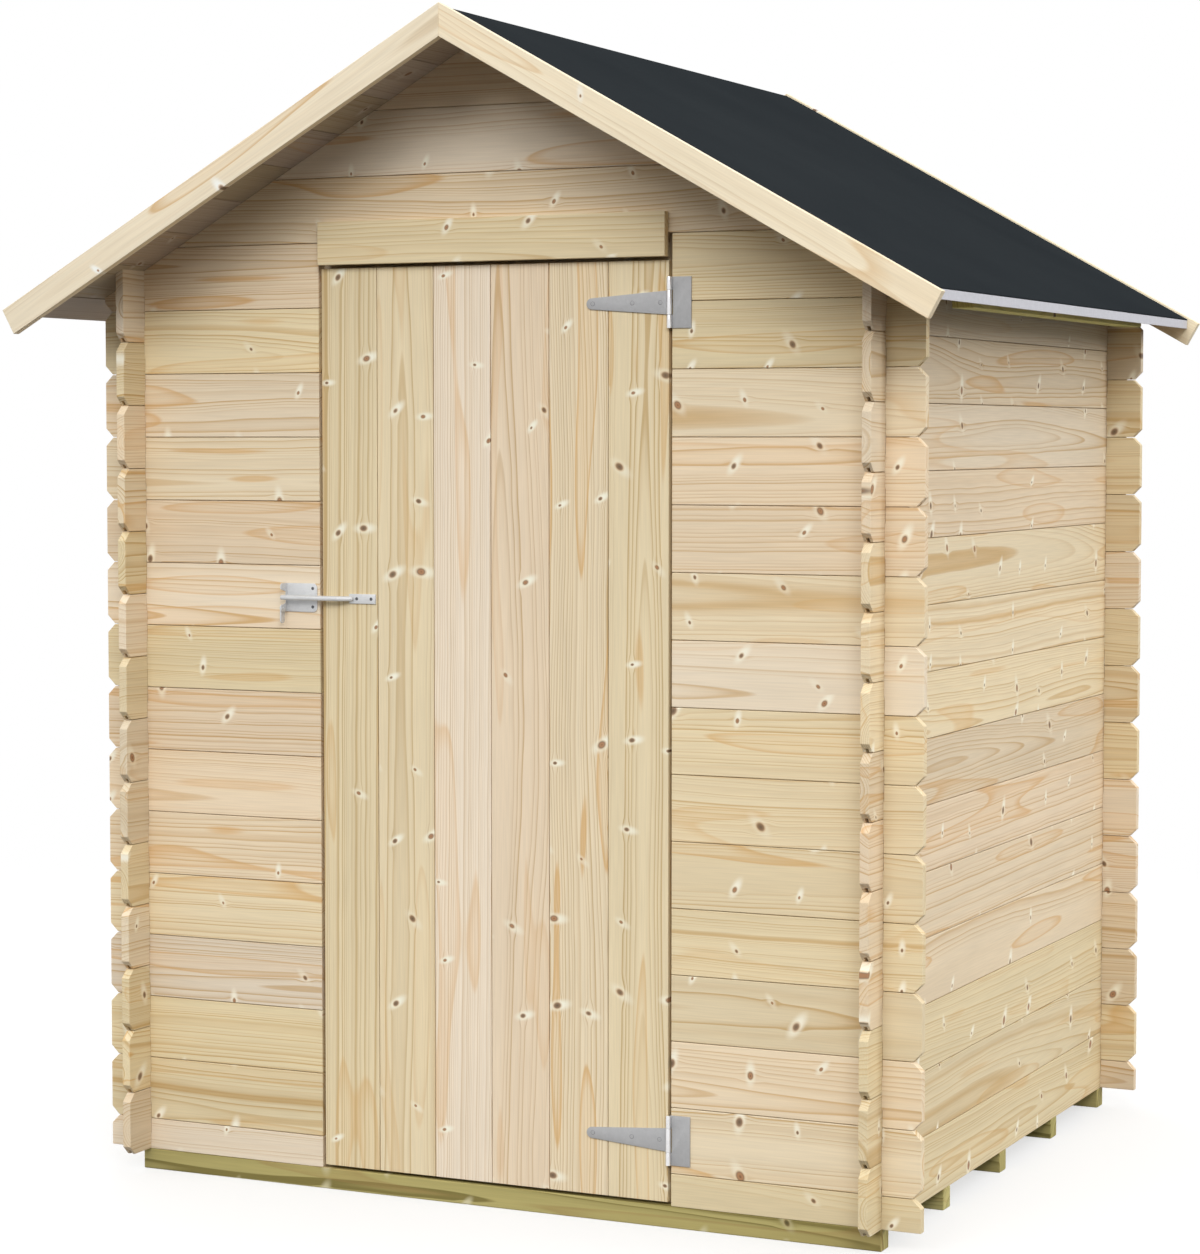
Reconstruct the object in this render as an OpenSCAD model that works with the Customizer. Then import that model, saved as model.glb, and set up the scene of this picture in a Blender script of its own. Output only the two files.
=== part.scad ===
// Wooden garden shed with interlocked board walls, a ledged door and a felted gable roof.
// The walls are stacked boards that cross at notched corners, so their ends stand past the corners.
// X runs along the front, Y from front to back, Z up from the ground, in millimetres.

/* [Walls] */
// width over the outer faces of the side walls
wall_w = 1446; // [1300:1:1800]
// depth over the outer faces of the front and back walls
wall_d = 1296; // [1000:1:1800]
// thickness of the wall boards
board_t = 16; // [14:1:22]
// height that one wall board covers
course_h = 114; // [108:1:124]
// number of boards in a side wall
courses = 14; // [13:1:16]
// length of the board ends past the corner
log_end = 69; // [55:1:90]
// chamfer on the corners of the board ends
end_chamfer = 15; // [6:1:20]
// depth of the V joint between two boards
joint_v = 2; // [1:0.5:4]
// play of the notches in the corners
notch_play = 0.3; // [0.1:0.1:1]

/* [Base] */
// number of bearers under the walls
bearers = 5; // [5:1:5]
// width of a bearer
bearer_w = 36; // [30:1:60]
// height of a bearer
bearer_h = 38; // [30:1:70]
// thickness of the floor boards
floor_t = 16; // [14:1:22]
// gap between the floor and the walls
floor_gap = 4; // [2:1:8]

/* [Roof] */
// slope of the roof in degrees
pitch = 29.24; // [24:0.01:34]
// height of the bevelled top edge on the outside of a side wall, over its boards
top_rise = 7; // [4:0.5:12]
// thickness of the roof boards
panel_t = 16; // [14:1:22]
// thickness of the roofing felt
felt_t = 2; // [1:0.5:4]
// distance of the eaves past the side wall
eaves_over = 139; // [125:1:200]
// distance of the front barge boards in front of the front wall
front_over = 189; // [150:1:260]
// width of the barge boards
barge_w = 49; // [40:1:80]
// thickness of the barge boards
barge_t = 16; // [12:1:22]
// length of the barge boards past the eaves
barge_past = 22; // [10:1:40]
// height of the barge boards over the felt
barge_proud = 3; // [1:0.5:10]
// play between the layers of the roof
roof_play = 0.1; // [0.05:0.05:0.3]
// thickness of the trim on the eaves
trim_t = 2.5; // [1:0.5:5]
// width of the batten under the eaves
batten_w = 40; // [30:1:50]
// height of the batten on its outer side
batten_h = 36; // [24:1:50]
// distance of the batten's front end behind the front wall
batten_back = 227; // [0:1:300]

/* [Door] */
// width of a door board
leaf_board_w = 112; // [100:1:120]
// gap round the door
leaf_gap = 6; // [6:0.5:9]
// height of the opening over the door
leaf_headroom = 46; // [40:1:60]
// height of the header board in front of the opening
header_h = 75; // [65:1:95]
// width of a ledge on the inside of the door
ledge_w = 95; // [70:1:110]
// thickness of a ledge
ledge_t = 18; // [14:1:24]
// distance of the ledges from the sides of the door
ledge_inset = 26; // [24:1:60]
// width of the door posts
post_w = 45; // [35:1:70]
// depth of the door posts
post_d = 34; // [28:1:45]
// overlap of the stop behind the door
stop_lap = 14; // [8:1:18]

/* [Hinges] */
// length of the hinge strap from the pin
strap_len = 155; // [120:1:220]
// height of the strap at the pin
strap_h = 41; // [30:1:50]
// height of the strap at its round tip
strap_tip_h = 19; // [14:1:24]
// thickness of the hinge plates
hinge_t = 2.5; // [2:0.5:4]
// height of the plate on the wall
plate_h = 86; // [70:1:110]
// width of the plate on the wall, from the pin
plate_w = 39; // [30:1:60]
// outside diameter of the hinge barrel
barrel_d = 9; // [8:0.5:10]
// diameter of the hinge pin
pin_d = 5; // [4:0.5:5.5]
// play round the pins
pin_play = 0.05; // [0.02:0.01:0.1]
// height of the lower hinge over the lower end of the door
lower_hinge = 108; // [90:1:160]
// depth of the upper hinge under the upper end of the door
upper_hinge = 71; // [60:1:120]

/* [Latch] */
// height of the latch bar over the lower end of the walls
latch_z = 1025; // [800:1:1200]
// diameter of the latch bar
bar_d = 9; // [7:0.5:10]
// distance of the latch bar in front of the wall
bar_out = 14; // [14:0.5:18]
// distance of the striker plate from the edge of the door
striker_x = 55; // [40:1:80]
// width of the striker plate
striker_w = 53; // [40:1:70]
// height of the striker plate
striker_h = 17; // [14:1:30]
// length over which the latch bar steps out from its plate
bar_step = 18; // [14:1:30]
// length of the latch bar past the flange
bar_past = 3; // [3:0.5:8]
// distance of the latch plate from the doorway
latch_gap = 5; // [3:1:12]
// width of the latch plate
latch_w = 64; // [50:1:80]
// height of the latch plate
latch_h = 51; // [50:1:70]
// radius of the latch plate's corners
latch_r = 8; // [4:1:12]
// thickness of the latch plates
latch_t = 2; // [1.5:0.5:3]
// distance that the flange of the latch plate stands out
flange_out = 22; // [22:1:30]
// chamfer on the corners of the flange
flange_c = 3; // [1:0.5:6]
// room round the latch bar in the slot of the flange
slot_play = 5.5; // [5:0.5:7]
// widening of the slot at its mouth
slot_flare = 5; // [2:0.5:5]
// distance of the rivet in front of the wall
rivet_out = 12; // [11:0.5:14]
// distance of the rivet below the latch bar
rivet_drop = 19; // [18:0.5:20]
// diameter of the rivet that carries the catch
rivet_d = 5; // [4:0.5:6]
// width of the rim of the rivet's head
rivet_rim = 2; // [1:0.5:2.5]
// thickness of the rivet's head
rivet_t = 1.4; // [1:0.1:2]
// width of the catch
catch_w = 13; // [10:0.5:13]
// length of the catch from its rivet to the middle of its round end
catch_len = 21; // [18:1:30]
// thickness of the catch
catch_t = 2.5; // [2:0.5:3]
// play on both sides of the catch
catch_play = 0.5; // [0.3:0.1:1]

/* [Hidden] */
$fn = 48;
eps = 1;
roof_len = front_over + wall_d + log_end + barge_t;
yf = front_over - roof_len / 2;
yb = yf + wall_d;
xw = wall_w / 2;
zw = bearer_h;
rise = tan(pitch);
wall_top = zw + courses * course_h + top_rise;
eaves_x = xw + eaves_over;
felt_y = roof_len / 2 - barge_t;
front_lines = [for (k = [0 : courses + 4]) zw + (k + 0.5) * course_h];
side_lines = [for (k = [1 : courses - 1]) zw + k * course_h];
side_necks = [for (k = [0 : courses - 1]) zw + (k + 0.5) * course_h];
front_necks = [for (k = [0 : courses]) zw + k * course_h];
leaf_w = 6 * leaf_board_w;
open_w = leaf_w + 2 * leaf_gap;
open_top = zw + (courses + 0.5) * course_h;
leaf_z0 = zw + leaf_gap;
leaf_z1 = open_top - leaf_headroom;
hinge_x = leaf_w / 2 + leaf_gap / 2;
hinge_y = yf - barrel_d / 2 - 0.5;
lower_z = leaf_z0 + lower_hinge;
upper_z = leaf_z1 - upper_hinge;
bar_z = zw + latch_z;
bar_y = yf - bar_out;
latch_x = -open_w / 2 - latch_gap;
flange_x = latch_x - latch_w;
rivet_y = yf - rivet_out;
rivet_z = bar_z - rivet_drop;
catch_x = flange_x - catch_play - catch_t;
rivet_x = catch_x - catch_play - rivet_t;
wood = "#e0cba3";
treated = "#968f4e";
steel = "#a5a6a8";

// height of the roof's underside over a point across the shed
function under(x) = wall_top + (xw - abs(x)) * rise;

// distance from the middle where the roof's underside has a height
function under_x(z) = xw - (z - wall_top) / rise;

// heights in a list that lie between two limits
function between(zs, a, b) = [for (z = zs) if (z > a + end_chamfer && z < b - end_chamfer) z];

// one face of a board wall from low to high, with a V at each joint
function face_up(u, s, zs, v) = [for (z = zs) each [[u, z - v], [u - s * v, z], [u, z + v]]];

// the same points from high to low
function turned(p) = [for (i = [len(p) - 1 : -1 : 0]) p[i]];

// section through a board wall, from the outer face to the inner
module section(u0, u1, z0, z1, zs) {
    polygon(concat(
        [[u0, z0]], face_up(u0, -1, zs, joint_v), [[u0, z1]],
        [[u1, z1]], turned(face_up(u1, 1, zs, joint_v)), [[u1, z0]]));
}

// draws a shape of X and Z, from one Y to another
module along_y(y0, y1) {
    translate([0, y1, 0])
        rotate([90, 0, 0])
            linear_extrude(y1 - y0)
                children();
}

// draws a shape of Y and Z, from one X to another
module along_x(x0, x1) {
    translate([x0, 0, 0])
        rotate([90, 0, 90])
            linear_extrude(x1 - x0)
                children();
}

// wall of boards along X with its outline given, notched for the side walls
module x_wall(y0, outline, z0, z1) {
    difference() {
        intersection() {
            along_y(y0 - eps, y0 + board_t + eps)
                polygon(outline);
            along_x(-xw - log_end - eps, xw + log_end + eps)
                section(y0, y0 + board_t, z0 - eps, z1 + eps, between(front_lines, z0, z1));
        }
        for (x = [-xw, xw - board_t], z = side_necks)
            translate([x - notch_play, y0 - eps, z - course_h / 4 - notch_play / 2])
                cube([board_t + 2 * notch_play, board_t + 2 * eps, course_h / 2 + notch_play]);
    }
}

// wall of boards along Y, notched for the front and back walls
module y_wall(x0) {
    y0 = yf - log_end;
    y1 = yb + log_end;
    top = under(0);
    difference() {
        intersection() {
            along_x(x0 - eps, x0 + board_t + eps)
                polygon(concat(
                    [[y0 + end_chamfer, zw], [y0, zw + end_chamfer]],
                    face_up(y0, -1, side_lines, end_chamfer), [[y0, top]],
                    [[y1, top]], turned(face_up(y1, 1, side_lines, end_chamfer)),
                    [[y1, zw + end_chamfer], [y1 - end_chamfer, zw]]));
            along_y(y0 - eps, y1 + eps)
                polygon(concat(
                    [[x0, zw - eps]], face_up(x0, -1, side_lines, joint_v), [[x0, under(x0)]],
                    [[x0 + board_t, under(x0 + board_t)]],
                    turned(face_up(x0 + board_t, 1, side_lines, joint_v)), [[x0 + board_t, zw - eps]]));
        }
        for (y = [yf, yb - board_t], z = front_necks)
            translate([x0 - eps, y - notch_play, z - course_h / 4 - notch_play / 2])
                cube([board_t + 2 * eps, board_t + 2 * notch_play, course_h / 2 + notch_play]);
    }
}

// outline of the log ends of a front or back wall, on the right from low to high
function x_ends() = concat(
    [[xw + log_end, zw]],
    face_up(xw + log_end, 1, between(front_lines, zw, under(xw + log_end)), end_chamfer),
    [[xw + log_end, under(xw + log_end)]]);

function mirrored(p) = [for (q = turned(p)) [-q[0], q[1]]];

// piece to draw

// bearer under the walls, counted from the front
module bearer(i) {
    color(treated)
        translate([-xw, yf + i * (wall_d - bearer_w) / (bearers - 1), 0])
            cube([wall_w, bearer_w, bearer_h]);
}

module floor_bearer_1() bearer(0);

module floor_bearer_2() bearer(1);

module floor_bearer_3() bearer(2);

module floor_bearer_4() bearer(3);

module floor_bearer_5() bearer(4);

// floor boards that run from front to back on the bearers
module floor() {
    half = xw - board_t - floor_gap;
    n = floor(half / course_h);
    color(wood)
        along_y(yf + board_t + leaf_gap, yb - board_t - floor_gap)
            polygon(concat(
                [[-half, zw], [-half, zw + floor_t]],
                [for (k = [-n : n]) each [
                    [k * course_h - joint_v, zw + floor_t],
                    [k * course_h, zw + floor_t - joint_v],
                    [k * course_h + joint_v, zw + floor_t]]],
                [[half, zw + floor_t], [half, zw]]));
}

module left_wall() {
    color(wood)
        y_wall(-xw);
}

module right_wall() {
    color(wood)
        y_wall(xw - board_t);
}

// back wall with its gable
module back_wall() {
    color(wood)
        x_wall(yb - board_t, concat(x_ends(), [[0, under(0)]], mirrored(x_ends())), zw, under(0));
}

// front wall beside the doorway, on the left
module front_wall_left() {
    color(wood)
        x_wall(yf, concat(
            [[-open_w / 2, zw], [-open_w / 2, open_top], [-under_x(open_top), open_top]],
            mirrored(x_ends())), zw, open_top);
}

// front wall beside the doorway, on the right
module front_wall_right() {
    color(wood)
        x_wall(yf, concat(
            x_ends(), [[under_x(open_top), open_top], [open_w / 2, open_top], [open_w / 2, zw]]),
            zw, open_top);
}

// gable over the doorway
module front_gable() {
    color(wood)
        x_wall(yf, [
            [-under_x(open_top), open_top], [under_x(open_top), open_top], [0, under(0)]],
            open_top, under(0));
}

// post on the inside of the wall beside the doorway, with a stop behind the door
module door_post(s) {
    x0 = s * open_w / 2;
    y0 = yf + board_t;
    color(wood)
        translate([0, 0, zw + floor_t])
            linear_extrude(open_top + post_d - zw - floor_t)
                polygon([
                    [x0, y0], [x0 + s * post_w, y0], [x0 + s * post_w, y0 + post_d],
                    [x0 - s * stop_lap, y0 + post_d], [x0 - s * stop_lap, y0 + leaf_gap],
                    [x0, y0 + leaf_gap]]);
}

module door_post_left() door_post(-1);

module door_post_right() door_post(1);

// cross piece on the inside over the doorway, with a stop behind the door
module door_head() {
    x0 = open_w / 2 - stop_lap;
    y0 = yf + board_t;
    z0 = leaf_z1 - stop_lap;
    color(wood)
        along_x(-x0, x0)
            polygon([
                [y0, open_top], [y0, open_top + post_d], [y0 + post_d, open_top + post_d],
                [y0 + post_d, z0], [y0 + leaf_gap, z0], [y0 + leaf_gap, open_top]]);
}

// board in front of the opening over the door
module door_header() {
    color(wood)
        translate([1 - leaf_w / 2, yf - board_t, leaf_z1 + leaf_gap])
            cube([leaf_w - 2, board_t, header_h]);
}

// upright board of the door, counted from the latch side
module door_board(i) {
    x0 = i * leaf_board_w - leaf_w / 2;
    x1 = x0 + leaf_board_w;
    y1 = yf + board_t;
    v = joint_v;
    color(wood)
        translate([0, 0, leaf_z0])
            linear_extrude(leaf_z1 - leaf_z0)
                polygon([
                    [x0 + v, yf], [x1 - v, yf], [x1, yf + v], [x1, y1 - v],
                    [x1 - v, y1], [x0 + v, y1], [x0, y1 - v], [x0, yf + v]]);
}

module door_board_1() door_board(0);

module door_board_2() door_board(1);

module door_board_3() door_board(2);

module door_board_4() door_board(3);

module door_board_5() door_board(4);

module door_board_6() door_board(5);

// ledge across the inside of the door
module ledge(z) {
    x0 = leaf_w / 2 - ledge_inset;
    color(wood)
        translate([-x0, yf + board_t, z - ledge_w / 2])
            cube([2 * x0, ledge_t, ledge_w]);
}

module upper_ledge() ledge(upper_z);

module middle_ledge() ledge(bar_z);

module lower_ledge() ledge(lower_z);

// hinge plate on the wall, with two knuckles and the pin
module hinge_plate(z) {
    inner = barrel_d / 2 + 1;
    slot = strap_h / 2 + 0.5;
    color(steel) {
        along_y(yf - hinge_t, yf)
            polygon([
                [hinge_x, z - plate_h / 2], [hinge_x + plate_w, z - plate_h / 2],
                [hinge_x + plate_w, z + plate_h / 2], [hinge_x, z + plate_h / 2],
                [hinge_x, z + slot], [hinge_x + inner, z + slot],
                [hinge_x + inner, z - slot], [hinge_x, z - slot]]);
        for (a = [z - plate_h / 2, z + slot])
            translate([hinge_x, hinge_y, a])
                cylinder(d = barrel_d, h = plate_h / 2 - slot);
        translate([hinge_x, hinge_y, z - plate_h / 2])
            cylinder(d = pin_d, h = plate_h);
    }
}

module upper_hinge_plate() hinge_plate(upper_z);

module lower_hinge_plate() hinge_plate(lower_z);

// tapered hinge strap on the door, with its knuckle on the pin
module hinge_strap(z) {
    r = strap_tip_h / 2;
    tip = hinge_x - strap_len + r;
    color(steel)
        difference() {
            union() {
                along_y(yf - hinge_t, yf)
                    polygon(concat(
                        [[hinge_x, z + strap_h / 2]],
                        [for (a = [90 : 15 : 270]) [tip + r * cos(a), z + r * sin(a)]],
                        [[hinge_x, z - strap_h / 2]]));
                translate([hinge_x, hinge_y, z - strap_h / 2])
                    cylinder(d = barrel_d, h = strap_h);
            }
            translate([hinge_x, hinge_y, z - strap_h / 2 - eps])
                cylinder(d = pin_d + 2 * pin_play, h = strap_h + 2 * eps);
        }
}

module upper_hinge_strap() hinge_strap(upper_z);

module lower_hinge_strap() hinge_strap(lower_z);

// latch plate on the wall, with a slotted flange and the rivet of the catch
module latch_plate() {
    z0 = bar_z - latch_h / 2;
    z1 = bar_z + latch_h / 2;
    y0 = yf - flange_out;
    slot = bar_d / 2 + slot_play;
    color(steel) {
        along_y(yf - latch_t, yf)
            polygon(concat(
                [[flange_x, z1], [flange_x, z0]],
                [for (a = [-90 : 15 : 0]) [latch_x - latch_r + latch_r * cos(a), z0 + latch_r + latch_r * sin(a)]],
                [for (a = [0 : 15 : 90]) [latch_x - latch_r + latch_r * cos(a), z1 - latch_r + latch_r * sin(a)]]));
        along_x(flange_x, flange_x + latch_t)
            polygon([
                [yf, z0], [y0 + flange_c, z0], [y0, z0 + flange_c],
                [y0, bar_z - slot - slot_flare], [bar_y + slot, bar_z - slot],
                [bar_y + slot, bar_z + slot], [y0, bar_z + slot + slot_flare],
                [y0, z1 - flange_c], [y0 + flange_c, z1], [yf, z1]]);
        translate([rivet_x, rivet_y, rivet_z])
            rotate([0, 90, 0])
                cylinder(d = rivet_d, h = flange_x + latch_t - rivet_x);
        translate([rivet_x, rivet_y, rivet_z])
            rotate([0, 90, 0])
                cylinder(d = rivet_d + 2 * rivet_rim, h = rivet_t);
    }
}

// catch that hangs from its rivet and swings up in front of the latch bar
module latch_catch() {
    color(steel)
        difference() {
            union() {
                for (z = [rivet_z, rivet_z - catch_len])
                    translate([catch_x, rivet_y, z])
                        rotate([0, 90, 0])
                            cylinder(d = catch_w, h = catch_t);
                translate([catch_x, rivet_y - catch_w / 2, rivet_z - catch_len])
                    cube([catch_t, catch_w, catch_len]);
            }
            translate([catch_x - eps, rivet_y, rivet_z])
                rotate([0, 90, 0])
                    cylinder(d = rivet_d + 2 * pin_play, h = catch_t + 2 * eps);
        }
}

// striker on the door, a small plate with a bar that steps out from it
module latch_bar() {
    x0 = flange_x - bar_past;
    x1 = striker_x - leaf_w / 2;
    x2 = x1 - bar_step;
    foot_y = yf - bar_d / 2 - 0.3;
    lean = atan2(bar_step + bar_d / 2, foot_y - bar_y);
    color(steel) {
        translate([x1, yf - hinge_t, bar_z - striker_h / 2])
            cube([striker_w, hinge_t, striker_h]);
        translate([x0, bar_y, bar_z])
            rotate([0, 90, 0])
                cylinder(d = bar_d, h = x2 - x0);
        translate([x2, bar_y, bar_z])
            sphere(d = bar_d);
        translate([x2, bar_y, bar_z])
            rotate([-90, 0, -lean])
                cylinder(d = bar_d, h = norm([bar_step + bar_d / 2, foot_y - bar_y]));
        translate([x1 + bar_d / 2, foot_y, bar_z])
            sphere(d = bar_d);
    }
}

// strip parallel to the roof on the right, between two distances over its underside
module slope_strip(x1, a, b) {
    polygon([
        [0, under(0) + a / cos(pitch)], [x1, under(x1) + a / cos(pitch)],
        [x1, under(x1) + b / cos(pitch)], [0, under(0) + b / cos(pitch)]]);
}

// boarded half of the roof
module roof_panel() {
    color(wood)
        along_y(-felt_y, felt_y)
            slope_strip(eaves_x - trim_t, roof_play, panel_t);
}

module roof_panel_left() mirror([1, 0, 0]) roof_panel();

module roof_panel_right() roof_panel();

// roofing felt on one half of the roof
module roof_felt() {
    color("#323639")
        along_y(-felt_y, felt_y)
            slope_strip(eaves_x, panel_t + roof_play, panel_t + felt_t);
}

module roof_felt_left() mirror([1, 0, 0]) roof_felt();

module roof_felt_right() roof_felt();

// trim on the edge of the eaves
module eaves_trim() {
    x0 = eaves_x - trim_t;
    color("#c6c6ce")
        along_y(-felt_y, felt_y)
            polygon([
                [x0, under(x0)], [eaves_x, under(x0)],
                [eaves_x, under(eaves_x) + panel_t / cos(pitch)],
                [x0, under(x0) + panel_t / cos(pitch)]]);
}

module eaves_trim_left() mirror([1, 0, 0]) eaves_trim();

module eaves_trim_right() eaves_trim();

// batten under the eaves, against the end of the back wall
module eaves_batten() {
    x1 = xw + log_end;
    x0 = x1 - batten_w;
    z0 = under(x1) - batten_h;
    color(treated)
        along_y(yf + board_t + batten_back, yb - board_t)
            polygon([[x0, z0], [x1, z0], [x1, under(x1)], [x0, under(x0)]]);
}

module eaves_batten_left() mirror([1, 0, 0]) eaves_batten();

module eaves_batten_right() eaves_batten();

// sloping board over the end of the roof, cut square at the eaves
module barge(y0) {
    over = (panel_t + felt_t + barge_proud) / cos(pitch);
    x1 = eaves_x + barge_past;
    color(wood)
        along_y(y0, y0 + barge_t)
            polygon([
                [0, under(0) + over], [x1, under(x1) + over],
                [x1 - barge_w * sin(pitch), under(x1) + over - barge_w * cos(pitch)],
                [0, under(0) + over - barge_w / cos(pitch)]]);
}

module front_barge_left() mirror([1, 0, 0]) barge(-roof_len / 2);

module front_barge_right() barge(-roof_len / 2);

module back_barge_left() mirror([1, 0, 0]) barge(felt_y);

module back_barge_right() barge(felt_y);

floor_bearer_1();
floor_bearer_2();
floor_bearer_3();
floor_bearer_4();
floor_bearer_5();
floor();
left_wall();
right_wall();
back_wall();
front_wall_left();
front_wall_right();
front_gable();
door_post_left();
door_post_right();
door_head();
door_header();
door_board_1();
door_board_2();
door_board_3();
door_board_4();
door_board_5();
door_board_6();
upper_ledge();
middle_ledge();
lower_ledge();
upper_hinge_plate();
lower_hinge_plate();
upper_hinge_strap();
lower_hinge_strap();
latch_plate();
latch_catch();
latch_bar();
roof_panel_left();
roof_panel_right();
roof_felt_left();
roof_felt_right();
eaves_trim_left();
eaves_trim_right();
eaves_batten_left();
eaves_batten_right();
front_barge_left();
front_barge_right();
back_barge_left();
back_barge_right();
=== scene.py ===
import math
import random

import bmesh
import bpy
from mathutils import Matrix, Vector


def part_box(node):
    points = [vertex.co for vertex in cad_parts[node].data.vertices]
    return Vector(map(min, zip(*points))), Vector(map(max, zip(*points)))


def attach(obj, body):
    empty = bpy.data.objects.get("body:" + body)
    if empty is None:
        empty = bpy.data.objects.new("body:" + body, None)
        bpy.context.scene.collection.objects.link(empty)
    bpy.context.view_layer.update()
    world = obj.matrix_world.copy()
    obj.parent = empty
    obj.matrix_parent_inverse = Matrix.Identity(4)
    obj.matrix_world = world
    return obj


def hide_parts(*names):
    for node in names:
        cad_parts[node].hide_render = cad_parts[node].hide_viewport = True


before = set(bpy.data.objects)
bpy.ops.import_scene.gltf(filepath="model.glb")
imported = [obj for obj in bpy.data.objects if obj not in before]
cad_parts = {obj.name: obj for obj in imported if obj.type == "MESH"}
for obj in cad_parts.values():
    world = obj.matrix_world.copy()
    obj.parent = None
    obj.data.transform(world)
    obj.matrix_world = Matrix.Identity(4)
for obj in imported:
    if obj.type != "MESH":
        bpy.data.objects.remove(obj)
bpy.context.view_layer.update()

MM = 0.001
X, Y, Z = Vector((1, 0, 0)), Vector((0, 1, 0)), Vector((0, 0, 1))
dice = random.Random(11)

# Sizes that the frame gives
left_low, left_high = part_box("left_wall")
back_low, back_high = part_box("back_wall")
gable_low, gable_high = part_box("front_gable")
board_t = left_high.x - left_low.x
half_w = -left_low.x
front_y = gable_low.y
back_y = back_high.y
base_z = left_low.z
open_top = gable_low.z
apex_z = gable_high.z
rise = (apex_z - open_top) / gable_high.x
pitch = math.atan(rise)
log_end = back_high.x - half_w
door_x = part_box("front_wall_right")[0].x

# Sizes of the boards and what is on them
COURSE = 114 * MM
COURSES = 14
CHAMFER = 15 * MM
EASE = 0.9 * MM
JOINT = 1.3 * MM
TONGUE_W = 6 * MM
TONGUE_H = 4 * MM
NOTCH_PLAY = 0.3 * MM
SLOT_W = 6 * MM
SLOT_H = 7 * MM
SLOT_LONG = 40 * MM

# Shares and limits used by the mesh helpers
CUT_REACH = 1e-7
FLAT_SAWN = 0.6
FIGURE_MIN = 0.35
SMOOTH_ANGLE = 35


def under(x):
    """Height of the roof's underside at a distance from the middle."""
    return apex_z - abs(x) * rise


def under_x(z):
    """Distance from the middle where the roof's underside has a height."""
    return (apex_z - z) / rise


# Meshes


def prism(outline, depth, along="w"):
    """A closed solid in a board's own frame: u runs along the board, v across it and w through it."""
    bm = bmesh.new()
    place = {"w": lambda p: (p[0], p[1], 0), "u": lambda p: (0, p[0], p[1])}[along]
    face = bm.faces.new([bm.verts.new(place(p)) for p in outline])
    grown = bmesh.ops.extrude_face_region(bm, geom=[face])["geom"]
    step = (0, 0, depth) if along == "w" else (depth, 0, 0)
    bmesh.ops.translate(bm, verts=[g for g in grown if isinstance(g, bmesh.types.BMVert)], vec=step)
    bmesh.ops.recalc_face_normals(bm, faces=bm.faces)
    return bm


def cut(bm, point, normal):
    """Cuts off what lies on the normal's side of a plane, and closes the cut."""
    geom = bm.verts[:] + bm.edges[:] + bm.faces[:]
    found = bmesh.ops.bisect_plane(
        bm, geom=geom, plane_co=point, plane_no=normal, clear_outer=True, dist=CUT_REACH)
    edges = [g for g in found["geom_cut"] if isinstance(g, bmesh.types.BMEdge)]
    bmesh.ops.holes_fill(bm, edges=edges)
    bmesh.ops.recalc_face_normals(bm, faces=bm.faces)


def ease(bm, size=EASE, segments=2):
    """Rounds all edges a little."""
    bmesh.ops.bevel(
        bm, geom=bm.edges[:], offset=size, offset_type="OFFSET", segments=segments, profile=0.5,
        affect="EDGES", clamp_overlap=True)


def carve(bm, cutters):
    """Takes boxes, each given by two corners, out of a solid."""
    if not cutters:
        return bm
    tool = bmesh.new()
    for low, high in cutters:
        low, high = Vector(low), Vector(high)
        size = Matrix.Diagonal((high - low).to_4d())
        size[3][3] = 1
        bmesh.ops.create_cube(tool, size=1, matrix=Matrix.Translation((low + high) / 2) @ size)
    objects = []
    for name, source in (("carved", bm), ("cutter", tool)):
        mesh = bpy.data.meshes.new(name)
        source.to_mesh(mesh)
        source.free()
        objects.append(bpy.data.objects.new(name, mesh))
        bpy.context.scene.collection.objects.link(objects[-1])
    change = objects[0].modifiers.new("cut", "BOOLEAN")
    change.operation = "DIFFERENCE"
    change.solver = "EXACT"
    change.object = objects[1]
    graph = bpy.context.evaluated_depsgraph_get()
    result = bmesh.new()
    result.from_mesh(objects[0].evaluated_get(graph).to_mesh())
    for o in objects:
        mesh = o.data
        bpy.data.objects.remove(o)
        bpy.data.meshes.remove(mesh)
    return result


class Piece:
    """Collects solids into one object, with each board's grain and tone kept on its points."""

    def __init__(self, name):
        self.name = name
        self.points = []
        self.faces = []
        self.grain = []
        self.tone = []

    def add(self, bm, origin, u, v, w, grain=(0, 0, 0), tone=(0.5, 0.5, 0.5, 0.5)):
        axes = Matrix((u, v, w)).transposed()
        flip = axes.determinant() < 0
        start = len(self.points)
        bm.verts.index_update()
        for vert in bm.verts:
            self.points.append(Vector(origin) + axes @ vert.co)
            self.grain.append(vert.co + Vector(grain))
            self.tone.append(tone)
        for face in bm.faces:
            corners = [start + vert.index for vert in face.verts]
            self.faces.append(corners[::-1] if flip else corners)
        bm.free()

    def finish(self, material, body, nodes, smooth=None):
        mesh = bpy.data.meshes.new(self.name)
        mesh.from_pydata([tuple(p) for p in self.points], [], self.faces)
        grain = mesh.attributes.new("grain", "FLOAT_VECTOR", "POINT")
        grain.data.foreach_set("vector", [c for g in self.grain for c in g])
        tone = mesh.attributes.new("tone", "FLOAT_COLOR", "POINT")
        tone.data.foreach_set("color", [c for t in self.tone for c in t])
        mesh.materials.append(material)
        if smooth is not None:
            mesh.polygons.foreach_set("use_smooth", [True] * len(mesh.polygons))
            mesh.set_sharp_from_angle(angle=math.radians(smooth))
        mesh.update()
        piece = bpy.data.objects.new(self.name, mesh)
        bpy.context.scene.collection.objects.link(piece)
        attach(piece, body)
        if nodes:
            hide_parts(*nodes)


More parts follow.
